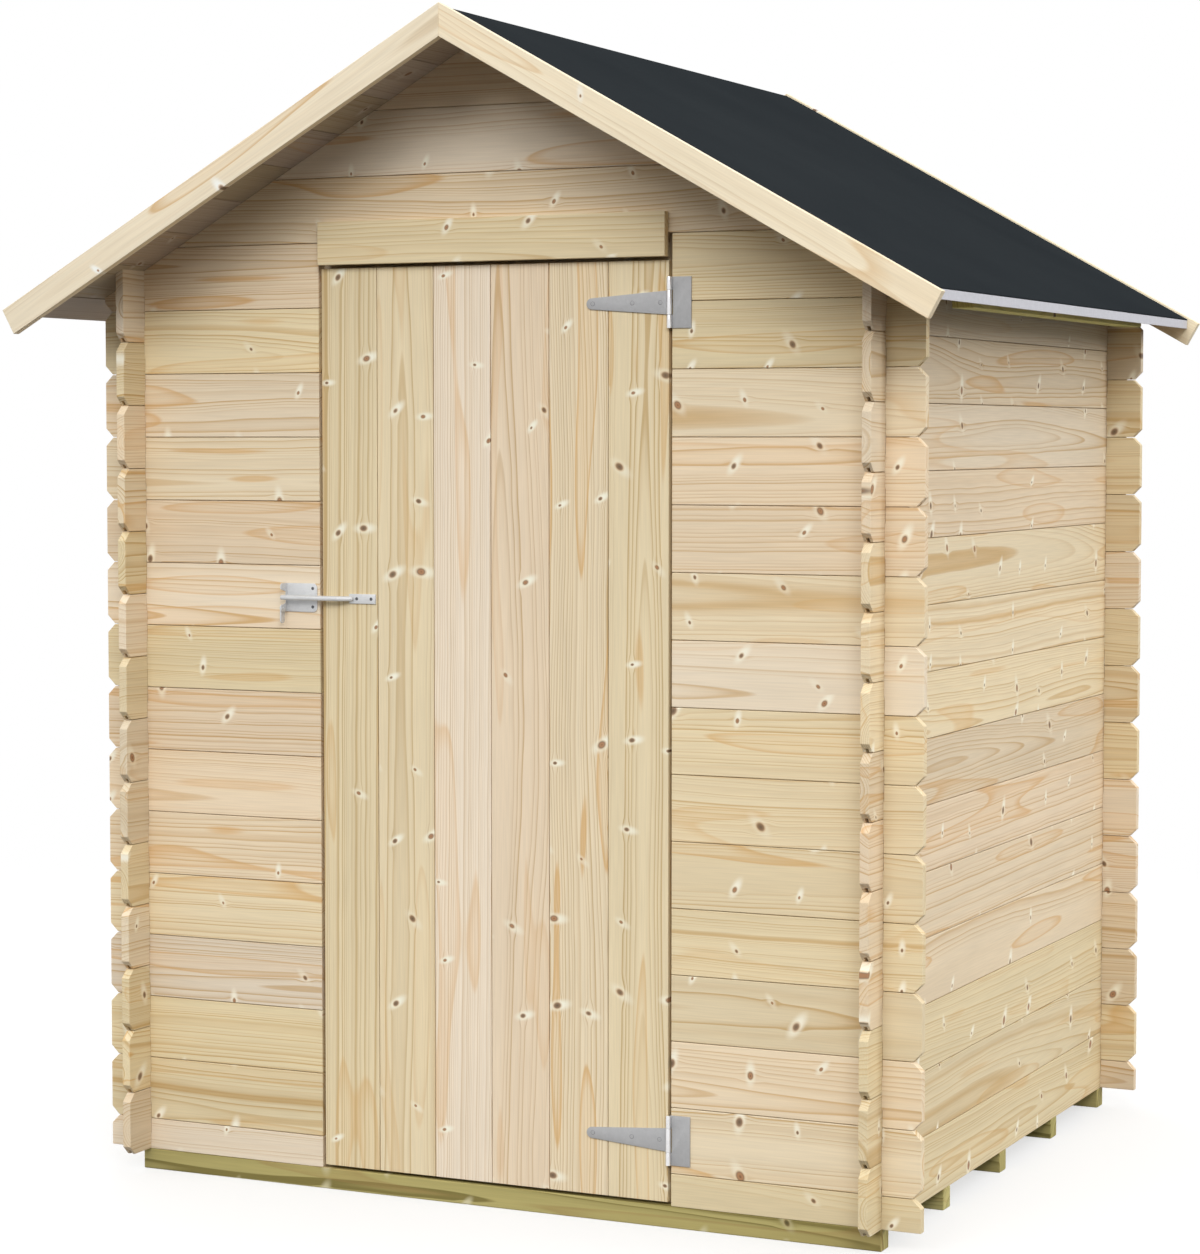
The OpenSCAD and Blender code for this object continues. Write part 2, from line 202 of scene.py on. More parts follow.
def wood_seed(width, light=None, hue=None):
    """Where a board was in its tree: the place of the pith, a shift along the trunk, and its tones."""
    if dice.random() < FLAT_SAWN:
        pith_v = width * dice.uniform(0.15, 0.85)
    else:
        pith_v = width * dice.choice((-1, 2)) * dice.uniform(0.5, 1.2)
    pith_w = dice.choice((-1, 1)) * dice.uniform(0.02, 0.06)
    grain = (dice.uniform(0, 40), -pith_v, -pith_w)
    tone = [dice.random() for _ in range(4)]
    tone[3] = FIGURE_MIN + (1 - FIGURE_MIN) * tone[3]
    tone[0] = tone[0] if light is None else light
    tone[1] = tone[1] if hue is None else hue
    return grain, tone


def plank(piece, outline, depth, origin, u, v, w, size=EASE, cuts=(), slots=(), along="w", tongue=None,
          light=None, hue=None):
    """Adds one board with its own grain; a tongue is given by its two ends and the height of the joint."""
    bm = prism(outline, depth, along)
    for point, normal in cuts:
        cut(bm, point, normal)
    ease(bm, size)
    bm = carve(bm, slots)
    ys = [vert.co.y for vert in bm.verts]
    grain, tone = wood_seed(max(ys) - min(ys), light, hue)
    piece.add(bm, origin, u, v, w, grain, tone)
    if tongue:
        a, b, height = tongue
        bm = prism(rectangle(a, b, height - TONGUE_H, height + TONGUE_H), TONGUE_W)
        piece.add(bm, origin + w * (depth - TONGUE_W) / 2, u, v, w, grain, tone)


def rectangle(u0, u1, v0, v1):
    return [(u0, v0), (u1, v0), (u1, v1), (u0, v1)]


# Materials


class Nodes:
    """Short ways to add shader nodes."""

    def __init__(self, name):
        self.material = bpy.data.materials.new(name)
        self.material.use_nodes = True
        self.tree = self.material.node_tree
        self.shader = self.tree.nodes["Principled BSDF"]

    def put(self, socket, value):
        if isinstance(value, bpy.types.NodeSocket):
            self.tree.links.new(value, socket)
        else:
            socket.default_value = value

    def add(self, kind, inputs=None, **settings):
        node = self.tree.nodes.new(kind)
        for key, value in settings.items():
            setattr(node, key, value)
        for key, value in (inputs or {}).items():
            self.put(node.inputs[key], value)
        return node

    def math(self, operation, a, b=0.0, c=0.0, clamp=False):
        node = self.add("ShaderNodeMath", {0: a, 1: b, 2: c}, operation=operation)
        node.use_clamp = clamp
        return node.outputs[0]

    def vector(self, x=0.0, y=0.0, z=0.0):
        return self.add("ShaderNodeCombineXYZ", {0: x, 1: y, 2: z}).outputs[0]

    def split(self, vector):
        return self.add("ShaderNodeSeparateXYZ", {0: vector}).outputs[:3]

    def noise(self, vector, scale=1.0, detail=2.0, roughness=0.5):
        inputs = {"Vector": vector, "Scale": scale, "Detail": detail, "Roughness": roughness}
        return self.add("ShaderNodeTexNoise", inputs).outputs["Fac"]

    def ramp(self, value, stops):
        node = self.add("ShaderNodeValToRGB", {0: value})
        ramp = node.color_ramp
        while len(ramp.elements) < len(stops):
            ramp.elements.new(0.5)
        for element, (place, colour) in zip(ramp.elements, stops):
            element.position = place
            element.color = (*colour, 1) if hasattr(colour, "__len__") else (colour, colour, colour, 1)
        return node.outputs[0]

    def mix(self, factor, a, b, blend="MIX"):
        node = self.add("ShaderNodeMix", data_type="RGBA", blend_type=blend)
        self.put(node.inputs[0], factor)
        for socket, value in ((node.inputs[6], a), (node.inputs[7], b)):
            self.put(socket, value if isinstance(value, bpy.types.NodeSocket) else (*value, 1))
        return node.outputs[2]

    def span(self, value, a, b, c, d, smooth=False):
        node = self.add("ShaderNodeMapRange", {0: value, 1: a, 2: b, 3: c, 4: d})
        node.clamp = True
        if smooth:
            node.interpolation_type = "SMOOTHSTEP"
        return node.outputs[0]


# Lengths in the wood: the cell that may hold a knot, the knots, and the growth rings
KNOT_CELL_U, KNOT_CELL_V = 150 * MM, 74 * MM
KNOT_SMALL, KNOT_GROWTH = 1.7 * MM, 3.8 * MM
FLARE_REACH, FLARE_SHIFT = 2.4 * MM, 1.6 * MM
RING_NARROW, RING_WIDE = 4.2 * MM, 9.8 * MM
SWAY_ACROSS, SWAY_DEPTH, SHAKE = 34 * MM, 22 * MM, 3 * MM
TAPER = 0.009
YEARS_PER_METRE = 60.0


def wood(name, early, late, knot=(0.185, 0.098, 0.042), heart=(0.64, 0.385, 0.150), contrast=0.9,
         knots=0.54, spread=0.10, rough=0.62):
    """Planed softwood: rings round a pith, grain that flows round knots, and a tone for each board."""
    n = Nodes(name)
    grain = n.add("ShaderNodeAttribute", attribute_name="grain").outputs["Vector"]
    tone = n.add("ShaderNodeAttribute", attribute_name="tone")
    u, v, w = n.split(grain)
    light, hue, width = n.split(tone.outputs["Color"])
    extra = tone.outputs["Alpha"]

    def scaled(vector, *factors):
        return n.add("ShaderNodeVectorMath", {0: vector, 1: factors}, operation="MULTIPLY").outputs[0]

    def length(vector):
        return n.add("ShaderNodeVectorMath", {0: vector}, operation="LENGTH").outputs["Value"]

    def stretched(along, across):
        return n.noise(scaled(grain, along, across, across), 1.0, 0.0)

    slow = stretched(1.4, 8.0)
    quick = stretched(11.0, 40.0)
    fibre = stretched(13.0, 420.0)
    isle = stretched(2.0, 21.0)

    # Knots: one place in each cell of a stretched grid, of which some are empty
    place = scaled(grain, 1 / KNOT_CELL_U, 1 / KNOT_CELL_V, 0.0)
    cells = n.add("ShaderNodeTexVoronoi", {"Vector": place, "Scale": 1.0, "Randomness": 0.7},
                  voronoi_dimensions="2D")
    chance, turn, kind = n.split(cells.outputs["Color"])
    delta = n.add("ShaderNodeVectorMath", {0: place, 1: cells.outputs["Position"]},
                  operation="SUBTRACT").outputs[0]
    delta = scaled(delta, KNOT_CELL_U, KNOT_CELL_V, 0.0)
    angle = n.math("MULTIPLY_ADD", turn, 1.8, 0.67)
    branch = n.add("ShaderNodeVectorRotate", {"Vector": delta, "Angle": angle},
                   rotation_type="Z_AXIS").outputs[0]
    size = n.span(chance, 1 - knots, 1.0, 0.0, 1.0)
    shown = n.math("GREATER_THAN", chance, 1 - knots)
    radius = n.math("MULTIPLY_ADD", n.math("MULTIPLY", size, size), KNOT_GROWTH, KNOT_SMALL)
    reach = n.math("MULTIPLY_ADD", radius, 0.9, FLARE_REACH)
    near = n.math("DIVIDE", length(scaled(branch, 0.72, 1.0, 0.0)), radius)
    near = n.math("MULTIPLY_ADD", n.math("MULTIPLY_ADD", quick, 0.8, near), 0.25, -0.1)
    beside = n.add("ShaderNodeVectorMath", {0: branch, 1: (0.42, 1.0, 0.0), 2: (FLARE_SHIFT, 0.0, 0.0)},
                   operation="MULTIPLY_ADD").outputs[0]
    flare = n.span(n.math("DIVIDE", length(beside), reach), 0.4, 2.1, 1.0, 0.0, True)
    flow = n.span(n.math("DIVIDE", length(scaled(delta, 0.5, 1.0, 0.0)), reach), 0.4, 2.8, 0.9, 0.0, True)

    # Rings, which bend round the knots
    bend = n.math("MULTIPLY", n.math("MULTIPLY", n.split(delta)[1], flow), shown)
    across = n.math("MULTIPLY_ADD", slow, SWAY_ACROSS, n.math("SUBTRACT", v, bend))
    across = n.math("MULTIPLY_ADD", quick, SHAKE, across)
    from_pith = length(n.vector(across, w, 0.0))
    distance = n.math("MULTIPLY_ADD", u, TAPER, n.math("MULTIPLY_ADD", slow, SWAY_DEPTH, from_pith))
    years = n.math("MULTIPLY_ADD", hue, 50.0, n.math("MULTIPLY", distance, YEARS_PER_METRE))
    pace = n.add("ShaderNodeTexNoise", {"W": years, "Scale": 1.0, "Detail": 0.0},
                 noise_dimensions="1D").outputs["Fac"]
    phase = n.math("DIVIDE", distance, n.span(width, 0.0, 1.0, RING_NARROW, RING_WIDE))
    phase = n.math("FRACT", n.math("MULTIPLY_ADD", pace, 2.4, phase))
    ring = n.ramp(phase, [(0.0, 0.0), (0.45, 0.10), (0.74, 0.42), (0.88, 1.0), (0.95, 0.85), (1.0, 0.0)])
    strength = n.math("MULTIPLY", n.span(extra, 0.0, 1.0, 0.5 * contrast, 1.2 * contrast),
                      n.span(pace, 0.3, 0.7, 0.35, 1.1))
    colour = n.mix(n.math("MULTIPLY", ring, strength, clamp=True), early, late)

    # Islands with an orange edge, where the surface cuts the heart
    edge = n.ramp(isle, [(0.0, 0.0), (0.635, 0.0), (0.65, 1.0), (0.70, 0.2), (1.0, 0.3)])
    colour = n.mix(n.math("MULTIPLY", edge, n.span(extra, 0.25, 0.9, 0.1, 0.8)), colour, heart)

    # The tone of the board
    board = n.ramp(hue, [(0.0, (0.985, 0.985, 0.885)), (0.3, (1.0, 1.0, 0.96)), (0.5, (1.02, 1.045, 1.16)),
                         (0.7, (1.0, 0.99, 1.0)), (1.0, (1.005, 0.972, 0.99))])
    colour = n.mix(1.0, colour, board, "MULTIPLY")
    shade = n.math("MULTIPLY_ADD", fibre, 0.14, n.span(light, 0.0, 1.0, 0.86 - spread, 0.86 + spread * 0.6))
    shade = n.math("MULTIPLY_ADD", isle, 0.14, shade)
    colour = n.add("ShaderNodeVectorMath", {0: colour, "Scale": shade}, operation="SCALE").outputs[0]

    # The knots with their pale flares
    cream = tuple(min(0.93, c * 0.8 + max(early) * 0.45) for c in early)
    live = tuple(c * k for c, k in zip(heart, (0.62, 0.46, 0.45)))

    def shades(base, *factors):
        return [tuple(c * factor for c in base) for factor in factors]

    pale = n.math("MULTIPLY", n.math("MULTIPLY", flare, shown), n.span(turn, 0.0, 0.6, 0.35, 0.95))
    colour = n.mix(pale, colour, cream)
    dead_shades = (*shades(knot, 0.6, 1.0, 1.6), heart)
    live_shades = (*shades(live, 0.5, 1.0, 0.85), knot, heart)
    dead = n.ramp(near, list(zip((0.0, 0.15, 0.25, 0.33), dead_shades)))
    alive = n.ramp(near, list(zip((0.0, 0.08, 0.18, 0.24, 0.33), live_shades)))
    spot = n.mix(n.math("GREATER_THAN", kind, 0.5), dead, alive)
    cover = n.ramp(near, [(0.0, 0.95), (0.22, 0.9), (0.31, 0.5), (0.42, 0.0)])
    colour = n.mix(n.math("MULTIPLY", cover, shown), colour, spot)
    n.put(n.shader.inputs["Base Color"], colour)
    n.shader.inputs["Roughness"].default_value = rough
    n.shader.inputs["Specular IOR Level"].default_value = 0.3
    return n.material


def felt_material():
    """Flat anthracite roofing felt with a fine mineral surface."""
    n = Nodes("roofing_felt")
    place = n.add("ShaderNodeTexCoord").outputs["Object"]
    grit = n.noise(place, 900.0, 2.0, 0.7)
    cloud = n.noise(place, 3.0, 4.0)
    fleck = n.span(n.noise(place, 1500.0, 1.0), 0.66, 0.8, 0.0, 0.5)
    colour = n.ramp(cloud, [(0.3, (0.0185, 0.0220, 0.0250)), (0.7, (0.0230, 0.0270, 0.0300))])
    colour = n.mix(n.span(grit, 0.4, 0.7, 0.0, 0.45), colour, (0.0310, 0.0355, 0.0385))
    colour = n.mix(fleck, colour, (0.06, 0.064, 0.068))
    n.put(n.shader.inputs["Base Color"], colour)
    n.shader.inputs["Roughness"].default_value = 0.9
    n.shader.inputs["Specular IOR Level"].default_value = 0.0
    bump = n.add("ShaderNodeBump", {"Strength": 0.5, "Distance": 0.0006, "Height": grit})
    n.put(n.shader.inputs["Normal"], bump.outputs[0])
    return n.material


def metal(name, colour, rough, brushed=(1, 1, 1), metallic=0.9):
    """Sheet metal with a zinc coat: soft blotches and fine rolling marks."""
    n = Nodes(name)
    place = n.add("ShaderNodeTexCoord").outputs["Object"]
    marks_per_metre = 260.0
    stretched = (n.math("MULTIPLY", c, marks_per_metre * b) for c, b in zip(n.split(place), brushed))
    lines = n.noise(n.vector(*stretched), 1.0, 3.0, 0.6)
    blotch = n.add("ShaderNodeTexVoronoi", {"Vector": place, "Scale": 160.0}).outputs["Color"]
    patch = n.math("MULTIPLY_ADD", n.split(blotch)[0], 0.06, -0.02)
    shade = n.math("ADD", n.math("MULTIPLY_ADD", lines, 0.16, 0.9), patch)
    n.put(n.shader.inputs["Base Color"], n.mix(1.0, colour, n.vector(shade, shade, shade), "MULTIPLY"))
    n.put(n.shader.inputs["Roughness"], n.math("MULTIPLY_ADD", lines, 0.2, rough - 0.1))
    n.shader.inputs["Metallic"].default_value = metallic
    bump = n.add("ShaderNodeBump", {"Strength": 0.15, "Distance": 0.0002, "Height": lines})
    n.put(n.shader.inputs["Normal"], bump.outputs[0])
    return n.material


wall_wood = wood("wall_wood", (0.785, 0.658, 0.462), (0.575, 0.375, 0.165))
door_wood = wood("door_wood", (0.80, 0.675, 0.485), (0.56, 0.392, 0.200), contrast=1.05)
barge_wood = wood("barge_wood", (0.89, 0.775, 0.595), (0.66, 0.50, 0.315), contrast=0.5, knots=0.14)
# Painted shade: the roof boards are written about half as bright as the wall wood, so that the underside of
# the eaves renders dark.
roof_wood_painted_shade = wood("roof_wood_painted_shade", (0.44, 0.36, 0.28), (0.31, 0.23, 0.155), knot=(0.14, 0.085, 0.045),
                 heart=(0.42, 0.29, 0.17), knots=0.2)
treated_wood = wood("treated_wood", (0.50, 0.435, 0.165), (0.235, 0.195, 0.055), knot=(0.10, 0.07, 0.02),
                    heart=(0.36, 0.235, 0.08), contrast=1.7, knots=0.4, spread=0.14, rough=0.75)
# Painted light: a brighter copy of the treated wood for the eaves battens, which sit in the shade under the
# eaves.
batten_wood_painted_light = wood("batten_wood_painted_light", (0.66, 0.63, 0.235), (0.43, 0.40, 0.12), knot=(0.10, 0.07, 0.02),
                   heart=(0.50, 0.42, 0.13), knots=0.2, spread=0.1, rough=0.75)
felt = felt_material()
trim_metal = metal("grey_trim", (0.56, 0.56, 0.60), 0.5, metallic=0.0)
hinge_steel = metal("galvanised_steel", (0.40, 0.40, 0.405), 0.62, brushed=(4, 1, 0.2), metallic=0.25)
pin_steel = metal("bright_steel", (0.80, 0.80, 0.81), 0.30, brushed=(1, 1, 0.1))
latch_steel = metal("latch_steel", (0.63, 0.635, 0.64), 0.52, brushed=(0.2, 1, 4), metallic=0.35)
screw_steel = metal("screw_steel", (0.40, 0.40, 0.405), 0.5, metallic=0.3)
# Painted shade: near-black steel for the ring round each screw head and for the latch's screw heads.
painted_shade_steel = metal("shadowed_steel", (0.11, 0.11, 0.115), 0.6, metallic=0.2)


# Walls


def log_outline(u0, u1, height, low_notches, high_notches, low_ends=(True, True), high_ends=(True, True)):
    """Outline of a wall board: chamfered ends, and notches where other boards cross it."""
    deep = COURSE / 4 + NOTCH_PLAY / 2
    high = height - deep + (JOINT if high_notches else 0)
    points = [(u0 + CHAMFER, 0)] if low_ends[0] else [(u0, 0)]
    for a, b in low_notches:
        points += [(a, 0), (a, deep), (b, deep), (b, 0)]
    points += [(u1 - CHAMFER, 0), (u1, CHAMFER)] if low_ends[1] else [(u1, 0)]
    points += [(u1, height - CHAMFER), (u1 - CHAMFER, height)] if high_ends[1] else [(u1, height)]
    for a, b in reversed(high_notches):
        points += [(b, height), (b, high), (a, high), (a, height)]
    points += [(u0 + CHAMFER, height), (u0, height - CHAMFER)] if high_ends[0] else [(u0, height)]
    return points + ([(u0, CHAMFER)] if low_ends[0] else [])


def end_slots(u0, u1, ends):
    """The groove that shows on the lower chamfer of a board's end."""
    w0, w1 = (board_t - SLOT_W) / 2, (board_t + SLOT_W) / 2
    spans = [(u0 - MM, u0 + SLOT_LONG)] * ends[0] + [(u1 - SLOT_LONG, u1 + MM)] * ends[1]
    return [((a, -MM, w0), (b, SLOT_H, w1)) for a, b in spans]


def crossing(face, inward):
    """The stretch that a board crossing at a wall's outer face takes up."""
    a, b = sorted((face, face + inward * board_t))
    return (a - NOTCH_PLAY, b + NOTCH_PLAY)


def side_wall(name, side):
    piece = Piece(name + "_boards")
    u0, u1 = front_y - log_end, back_y + log_end
    notches = [crossing(front_y, 1), crossing(back_y, -1)]
    origin = Vector((side * half_w, 0, base_z))
    for j in range(COURSES):
        last = j == COURSES - 1
        cuts = []
        tongue = None if last else (u0 + 2 * CHAMFER, u1 - 2 * CHAMFER, COURSE)
        height = COURSE - JOINT
        if last:
            height = under(half_w - board_t) - base_z - j * COURSE
            top = under(half_w) - base_z - j * COURSE
            cuts = [((0, top, 0), (0, math.cos(pitch), -math.sin(pitch)))]
        outline = log_outline(u0, u1, height, notches, [] if last else notches,
                              high_ends=(not last, not last))
        plank(piece, outline, board_t, origin + Z * j * COURSE, Y, Z, -side * X, cuts=cuts,
              slots=end_slots(u0, u1, (1, 1)), tongue=tongue)
    piece.finish(wall_wood, "shed", [name])


def cross_boards():
    """Each board of a front or back wall: its height over the base, and its own height."""
    z = 0.0
    height = COURSE / 2
    while base_z + z < apex_z - 2 * CHAMFER:
        if base_z + z + height > apex_z - CHAMFER:
            height = apex_z - base_z - z
        yield z, height
        z += height
        height = COURSE


def cross_wall(piece, y, w, u_low, u_high, z_low, z_high):
    """Boards of a front or back wall between two ends, and between two heights over the base."""
    left, right = crossing(-half_w, 1), crossing(half_w, -1)
    end = half_w + log_end
    for z, height in cross_boards():
        if not z_low - MM < z < z_high - MM:
            continue
        origin = Vector((0, y, base_z + z))
        first = z == 0
        ends = (u_low < -half_w, u_high > half_w)
        notches = [left] * ends[0] + [right] * ends[1]
        low = [] if first else notches
        roof = under(end) - base_z - z
        joint = height
        if base_z + z + height < apex_z - MM:
            height -= JOINT
        if roof > joint:
            low_ends = (ends[0] and not first, ends[1] and not first)
            outline = log_outline(u_low, u_high, height, low, notches, low_ends, ends)
            slots = end_slots(u_low, u_high, low_ends)
            tongue = (u_low + 2 * CHAMFER * ends[0] + MM, u_high - 2 * CHAMFER * ends[1] - MM, joint)
        else:
            reach0, reach1 = under_x(base_z + z), under_x(base_z + z + height)
            inner = reach1 - 2 * TONGUE_H / rise
            tongue = (max(u_low + MM, -inner), min(u_high - MM, inner), joint) if inner > TONGUE_H else None
            if roof > 0:
                outline = log_outline(u_low, u_high, roof, low, [], ends, (False, False))
                slots = end_slots(u_low, u_high, ends)
                k = len(outline) - (1 if ends[0] else 0)
                top = [(min(u_high, reach1), height)] + [(max(u_low, -reach1), height)]
                spot = outline.index((u_high, roof))
                if not ends[1]:
                    outline[spot] = (u_high, height)
                    top = top[1:]
                if not ends[0]:
                    outline[k - 1] = (u_low, height)
                    top = top[:-1]
                outline = outline[:spot + 1] + top + outline[spot + 1:]
            else:
                outline = [(-reach0, 0), (reach0, 0), (reach1, height), (-reach1, height)]
                if reach1 < MM:
                    outline = outline[:2] + [(0, height)]
                slots = []
        plank(piece, outline, board_t, origin, X, Z, w, slots=slots, tongue=tongue)


side_wall("left_wall", -1)
side_wall("right_wall", 1)

reach = half_w + log_end
door_high = open_top - base_z
top_high = apex_z - base_z

back = Piece("back_wall_boards")
cross_wall(back, back_y, -Y, -reach, reach, 0, top_high)
back.finish(wall_wood, "shed", ["back_wall"])

front_left = Piece("front_wall_left_boards")
cross_wall(front_left, front_y, Y, -reach, -door_x, 0, door_high)
front_left.finish(wall_wood, "shed", ["front_wall_left"])

front_right = Piece("front_wall_right_boards")
cross_wall(front_right, front_y, Y, door_x, reach, 0, door_high)
front_right.finish(wall_wood, "shed", ["front_wall_right"])

gable = Piece("front_gable_boards")
cross_wall(gable, front_y, Y, -reach, reach, door_high, top_high)
gable.finish(wall_wood, "shed", ["front_gable"])


# Base


def box_plank(piece, node, along, size=2 * MM):
    """A board that fills a plain node's box, with its grain along one axis."""
    low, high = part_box(node)
    span = high - low
    axes = {"x": (X, Z, Y), "y": (Y, X, Z), "z": (Z, X, Y)}[along]
    u, v, w = (span.dot(a) for a in axes)
    plank(piece, rectangle(0, u, 0, v), w, low, *axes, size=size)


BEARERS = 5
for i in range(1, BEARERS + 1):
    bearer = Piece(f"bearer_timber_{i}")
    box_plank(bearer, f"floor_bearer_{i}", "x")
    bearer.finish(treated_wood, "shed", [f"floor_bearer_{i}"])

FLOOR_BOARDS = 20
floor_low, floor_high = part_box("floor")
floor = Piece("floor_boards")
lines = [floor_low.x]
joints = [k * COURSE for k in range(-FLOOR_BOARDS, FLOOR_BOARDS + 1)]
lines += [x for x in joints if floor_low.x + MM < x < floor_high.x - MM]
lines += [floor_high.x]
for a, b in zip(lines, lines[1:]):
    long = floor_high.y - floor_low.y
    wide = b - a
    last = b == lines[-1]
    plank(floor, rectangle(0, long, 0, wide - JOINT * (not last)), floor_high.z - floor_low.z,
          Vector((a, floor_low.y, floor_high.z)), Y, X, -Z, tongue=None if last else (MM, long - MM, wide))
floor.finish(wall_wood, "shed", ["floor"])


# Doorway

STOP_STEP = 6 * MM
for side, name in ((-1, "door_post_left"), (1, "door_post_right")):
    low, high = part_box(name)
    far = max(abs(low.x), abs(high.x))
    near = min(abs(low.x), abs(high.x))
    deep = high.y - low.y
    section = [(door_x, 0), (far, 0), (far, deep), (near, deep), (near, STOP_STEP), (door_x, STOP_STEP)]
    post = Piece(name + "_timber")
    plank(post, section, high.z - low.z, Vector((0, low.y, low.z)), Z, side * X, Y, along="u")
    post.finish(wall_wood, "shed", [name])

low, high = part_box("door_head")
deep = high.y - low.y
tall = high.z - low.z
step_z = open_top - low.z
head = Piece("door_head_timber")
plank(head, [(step_z, 0), (tall, 0), (tall, deep), (0, deep), (0, STOP_STEP), (step_z, STOP_STEP)],
      high.x - low.x, low, X, Z, Y, along="u")
head.finish(wall_wood, "shed", ["door_head"])

header = Piece("door_header_board")
box_plank(header, "door_header", "x", EASE)
header.finish(wall_wood, "shed", ["door_header"])


# Door

DOOR_BOARDS = 6
DOOR_LIGHTS = (0.45, 0.55, 1.0, 0.6, 0.65, 0.5)
DOOR_HUES = (0.06, 0.18, 0.5, 0.92, 0.34, 0.12)
for i in range(1, DOOR_BOARDS + 1):
    board = Piece(f"door_plank_{i}")
    low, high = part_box(f"door_board_{i}")
    long, wide = high.z - low.z, high.x - low.x
    last = i == DOOR_BOARDS
    plank(board, rectangle(0, long, 0, wide - JOINT * (not last)), high.y - low.y, low, Z, X, Y,
          tongue=None if last else (MM, long - MM, wide), light=DOOR_LIGHTS[i - 1], hue=DOOR_HUES[i - 1])
    board.finish(door_wood, "door", [f"door_board_{i}"])
for name in ("upper_ledge", "middle_ledge", "lower_ledge"):
    ledge = Piece(name + "_board")
    box_plank(ledge, name, "x")
    ledge.finish(door_wood, "door", [name])


# Roof

panel_low, panel_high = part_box("roof_panel_right")
barge_low, barge_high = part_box("front_barge_right")
felt_low, felt_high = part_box("roof_felt_right")
PANEL_T = 16 * MM
FELT_T = 2 * MM
NARROWEST = 30 * MM
TRIM_FALL = 2 * MM
BARGE_LIGHTS = {"left": (0.05, 0.35), "right": (0.5, 0.8)}
BARGE_HUES = (0.2, 0.42)
panel_long = panel_high.y - panel_low.y
slope = Vector((math.cos(pitch), 0, -math.sin(pitch)))
normal = Vector((math.sin(pitch), 0, math.cos(pitch)))


def sided(vector, side):
    return Vector((side * vector.x, vector.y, vector.z))


for side, name in ((-1, "left"), (1, "right")):
    panel = Piece(f"roof_boards_{name}")
    over = PANEL_T * rise
    end = panel_high.x / math.cos(pitch)
    place = -over
    while place < end - MM:
        far = min(end, place + COURSE + (over if place < 0 else 0))
        if end - far < NARROWEST:
            far = end
        last = far == end
        cuts = []
        if place < 0:
            cuts.append(((0, 0, 0), (0, -math.cos(pitch), -math.sin(pitch))))
        if last:
            cuts.append(((0, end, 0), (0, math.cos(pitch), math.sin(pitch))))
        plank(panel, rectangle(0, panel_long, place, far - JOINT * (not last)), PANEL_T,
              Vector((0, panel_low.y, apex_z)), Y, sided(slope, side), sided(normal, side), cuts=cuts,
              tongue=None if last else (MM, panel_long - MM, far))
        place = far
    # The roof boards take the darker wood with the painted shade.
    panel.finish(roof_wood_painted_shade, "shed", [f"roof_panel_{name}"])

    batten = Piece(f"eaves_batten_timber_{name}")
    low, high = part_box(f"eaves_batten_{name}")
    x0, x1 = sorted((abs(low.x), abs(high.x)))
    section = [(x0, 0), (x1, 0), (x1, under(x1) - low.z), (x0, under(x0) - low.z)]
    plank(batten, section, high.y - low.y, low - X * low.x, Y, side * X, Z, along="u", size=1.5 * MM)
    # The battens take the brighter treated wood with the painted light.
    batten.finish(batten_wood_painted_light, "shed", [f"eaves_batten_{name}"])

    trim = Piece(f"eaves_strip_{name}")
    low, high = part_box(f"eaves_trim_{name}")
    wide, tall = high.x - low.x, high.z - low.z
    section = [(0, 0), (wide, 0), (wide, tall - TRIM_FALL), (0, tall - TRIM_FALL / 2)]
    bm = prism(section, high.y - low.y, along="u")
    ease(bm, 0.6 * MM)
    trim.add(bm, low if side > 0 else Vector((high.x, low.y, low.z)), Y, side * X, Z)
    trim.finish(trim_metal, "shed", [f"eaves_trim_{name}"])

    barge_w = (barge_high.z - barge_low.z - barge_high.x * rise) / math.cos(pitch)
    barge_end = barge_high.x / math.cos(pitch)
    corner = Vector((0, 0, barge_high.z)) - sided(normal, side) * barge_w
    for place in ("front", "back"):
        low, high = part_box(f"{place}_barge_{name}")
        barge = Piece(f"{place}_barge_board_{name}")
        outline = [(barge_w * rise, 0), (barge_end, 0), (barge_end, barge_w), (0, barge_w)]
        plank(barge, outline, high.y - low.y, corner + Y * low.y,
              sided(slope, side), sided(normal, side), Y,
              light=dice.uniform(*BARGE_LIGHTS[name]), hue=dice.uniform(*BARGE_HUES))
        barge.finish(barge_wood, "shed", [f"{place}_barge_{name}"])


